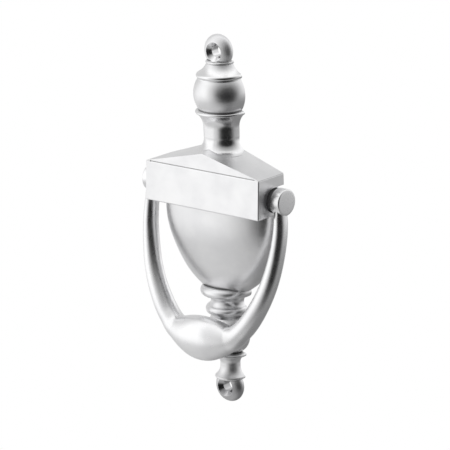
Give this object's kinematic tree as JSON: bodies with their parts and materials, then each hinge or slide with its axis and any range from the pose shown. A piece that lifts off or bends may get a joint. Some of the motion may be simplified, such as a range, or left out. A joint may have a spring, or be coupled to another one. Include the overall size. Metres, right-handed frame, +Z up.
{
  "type": "door knocker",
  "caption": "Victorian urn door knocker: a hollow urn-shaped casting with an eye at each end, and a forked lever with an egg-shaped grip on a horizontal hinge.",
  "frame": {"origin": "half way between the two fixing holes, on the door's face (the plane of the casting's rear rim)", "axes": "+Z up along the door, +X to the right seen from in front, +Y into the door"},
  "size_m": [0.093, 0.032, 0.195],
  "materials": {
    "satin_chrome": "satin chrome plate on a polished casting",
    "satin_chrome_lever": "satin chrome plate, handled smoother at the grip",
    "steel": "ground steel pin",
    "zinc_steel": "bright zinc plate",
    "nylon": "black nylon"
  },
  "bodies": {
    "urn": {"urn_casting": "satin_chrome", "pivot_bush_left": "nylon", "pivot_bush_right": "nylon", "bush_keeper_left": "zinc_steel", "bush_keeper_right": "zinc_steel", "keeper_screws": "zinc_steel"},
    "lever": {"lever_casting": "satin_chrome_lever", "pivot_pin_left": "steel", "pivot_pin_right": "steel", "strike_buffer": "nylon"}
  },
  "joints": [
    {"name": "lever_swing", "type": "hinge", "parent": "urn", "child": "lever", "pos_m": [0, -0.0076, 0.0175], "axis": [-1, 0, 0], "range_deg": [0, 160]}
  ]
}
